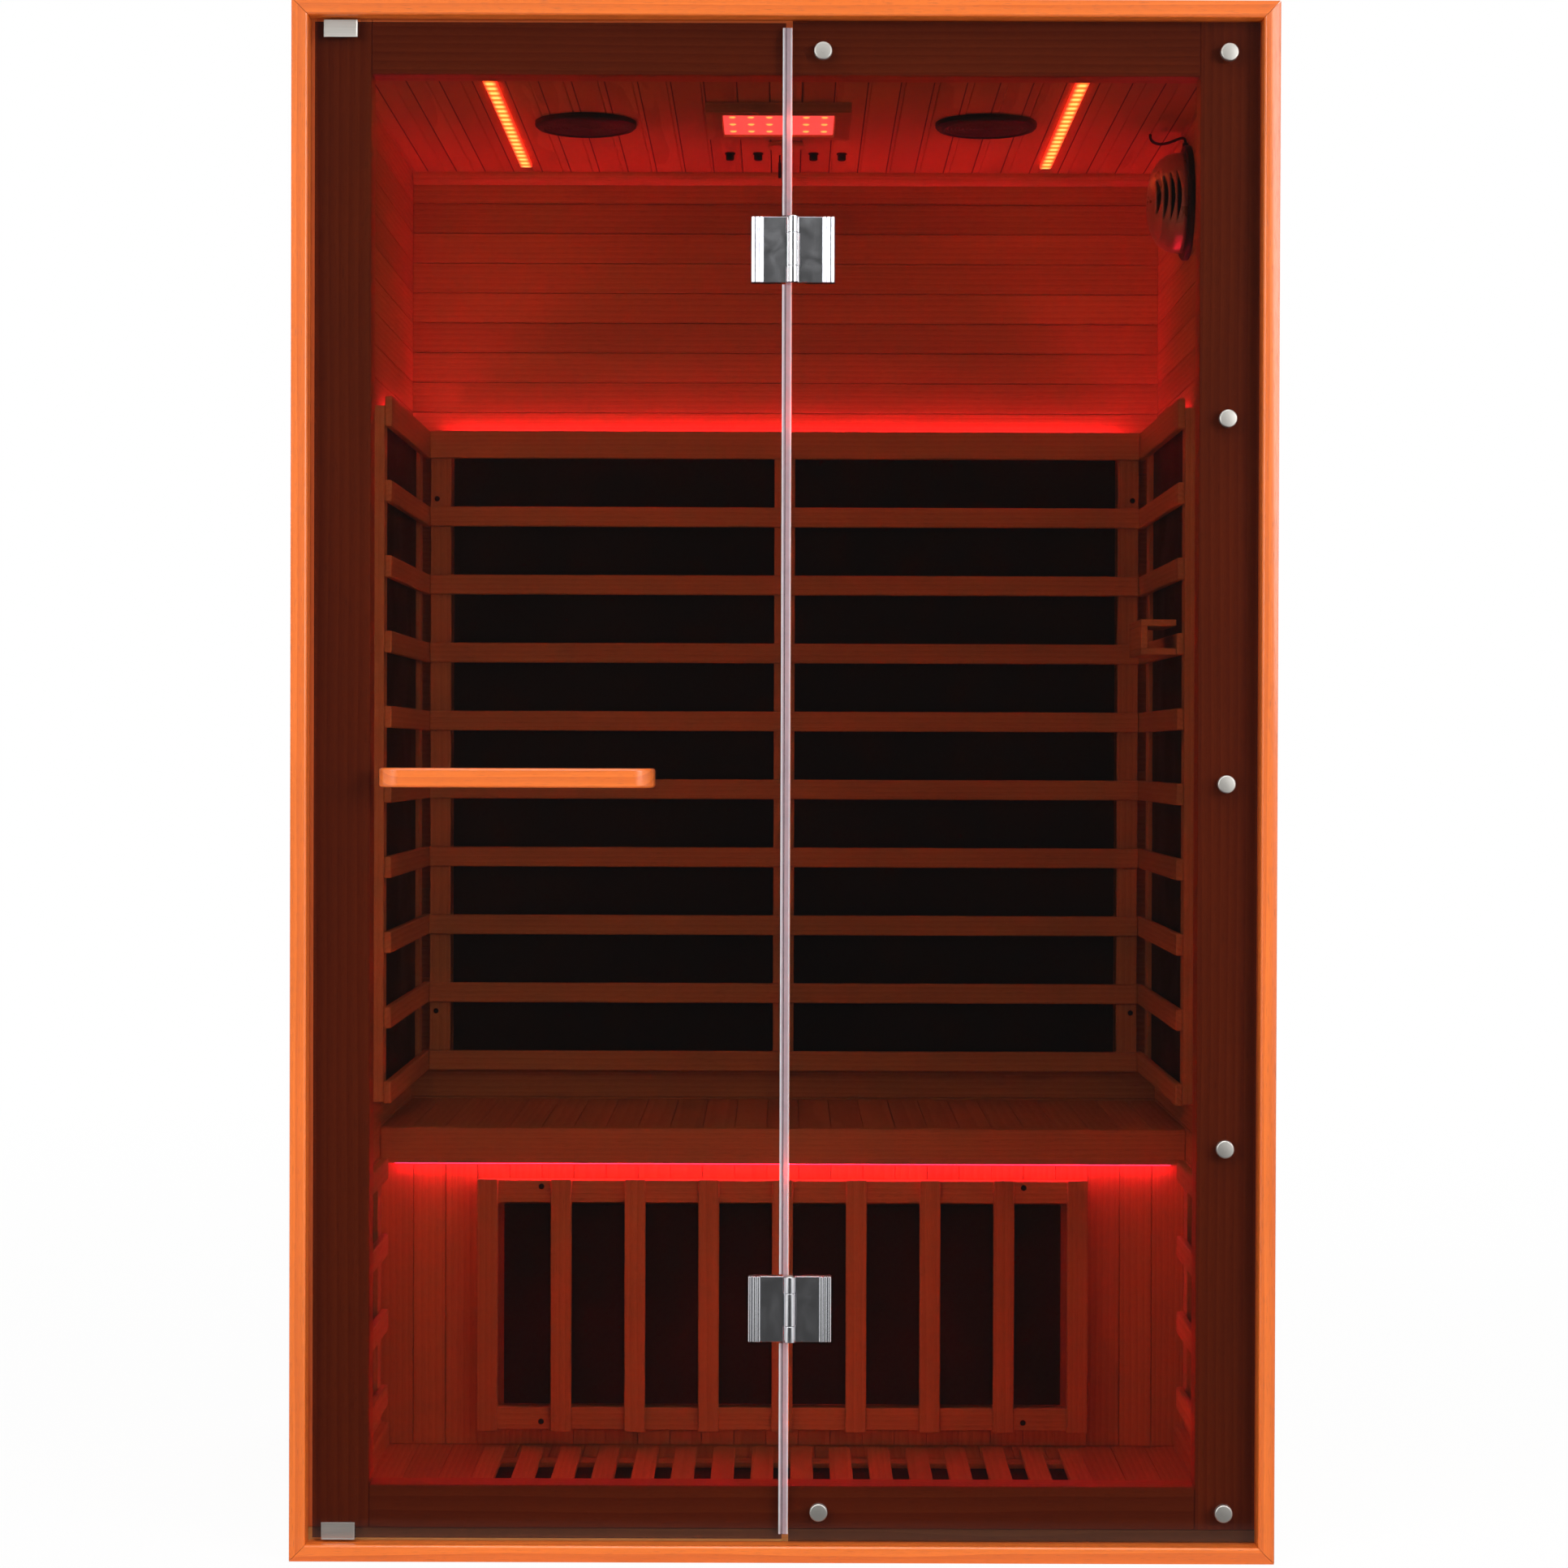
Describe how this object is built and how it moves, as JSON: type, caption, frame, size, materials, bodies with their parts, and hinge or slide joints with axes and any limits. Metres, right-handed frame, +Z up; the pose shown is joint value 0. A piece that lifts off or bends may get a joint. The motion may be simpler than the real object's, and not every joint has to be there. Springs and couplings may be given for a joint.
{
  "type": "infrared sauna cabin",
  "caption": "Free-standing infrared sauna cabin: grooved timber box with a tinted glass front, hinged glass door, slatted heater panels, bench, ceiling lights and speakers.",
  "frame": {"origin": "middle of the floor panel's underside", "axes": "+X to the right seen from the front, +Y from the glass front to the back wall, +Z up"},
  "size_m": [1.2, 1.0383, 1.9],
  "materials": {
    "stained_wood": "orange-stained, satin lacquer",
    "frame_wood": "brown-red stain behind the glass",
    "board_wood": "planed tongue-and-groove boards, matt",
    "slat_wood": "planed slats with eased edges, matt",
    "carbon_panel": "black carbon heating sheet",
    "bronze_glass": "bronze-tinted toughened glass, polished edges",
    "chrome": "polished",
    "brushed_steel": "brushed",
    "clear_plastic": "clear extruded strip",
    "light_diffuser": "ribbed amber diffuser, lit",
    "black_plastic": "fine-grained",
    "ioniser_shell": "dark metallic grey"
  },
  "bodies": {
    "cabin": {"back_grille": "slat_wood", "back_heater": "carbon_panel", "back_wall": "board_wood", "bench_front_panel": "board_wood", "bench_grille": "slat_wood", "bench_heater": "carbon_panel", "bench_seat": "slat_wood", "ceiling_panel": "board_wood", "fixed_glass": "bronze_glass", "floor_grille": "slat_wood", "floor_heater": "carbon_panel", "floor_panel": "board_wood", "front_header": "frame_wood", "front_left_post": "frame_wood", "front_right_post": "frame_wood", "front_sill": "frame_wood", "glass_fixing_1": "brushed_steel", "glass_fixing_2": "brushed_steel", "glass_fixing_3": "brushed_steel", "glass_fixing_4": "brushed_steel", "glass_fixing_5": "brushed_steel", "glass_fixing_6": "brushed_steel", "glass_fixing_7": "brushed_steel", "ioniser_base": "black_plastic", "ioniser_dome": "ioniser_shell", "ioniser_lead": "black_plastic", "lamp_frame": "board_wood", "left_calf_grille": "slat_wood", "left_calf_heater": "carbon_panel", "left_grille": "slat_wood", "left_heater": "carbon_panel", "left_wall": "board_wood", "light_bar_left": "light_diffuser", "light_bar_right": "light_diffuser", "lower_hinge_panel_leaf": "chrome", "lower_hinge_pin": "brushed_steel", "power_unit": "black_plastic", "right_calf_grille": "slat_wood", "right_calf_heater": "carbon_panel", "right_grille": "slat_wood", "right_heater": "carbon_panel", "right_wall": "board_wood", "roof_cover": "frame_wood", "speaker_left": "black_plastic", "speaker_right": "black_plastic", "storage_rack": "slat_wood", "trim_bottom": "stained_wood", "trim_left": "stained_wood", "trim_right": "stained_wood", "trim_top": "stained_wood", "upper_hinge_panel_leaf": "chrome", "upper_hinge_pin": "brushed_steel"},
    "door": {"door_glass": "bronze_glass", "hinge_seal_strip": "clear_plastic", "upper_hinge_door_leaf": "chrome", "lower_hinge_door_leaf": "chrome", "door_handle": "stained_wood", "upper_catch_strike": "brushed_steel", "lower_catch_strike": "brushed_steel"},
    "vent": {"vent_disc": "slat_wood"}
  },
  "joints": [
    {"name": "door_swing", "type": "hinge", "parent": "cabin", "child": "door", "pos_m": [0.009, -0.4883, 0.95], "axis": [0, 0, 1], "range_deg": [0, 110]},
    {"name": "vent_swivel", "type": "hinge", "parent": "cabin", "child": "vent", "pos_m": [0, 0.188, 1.856], "axis": [0, 0, 1], "range_deg": [0, 150]}
  ]
}
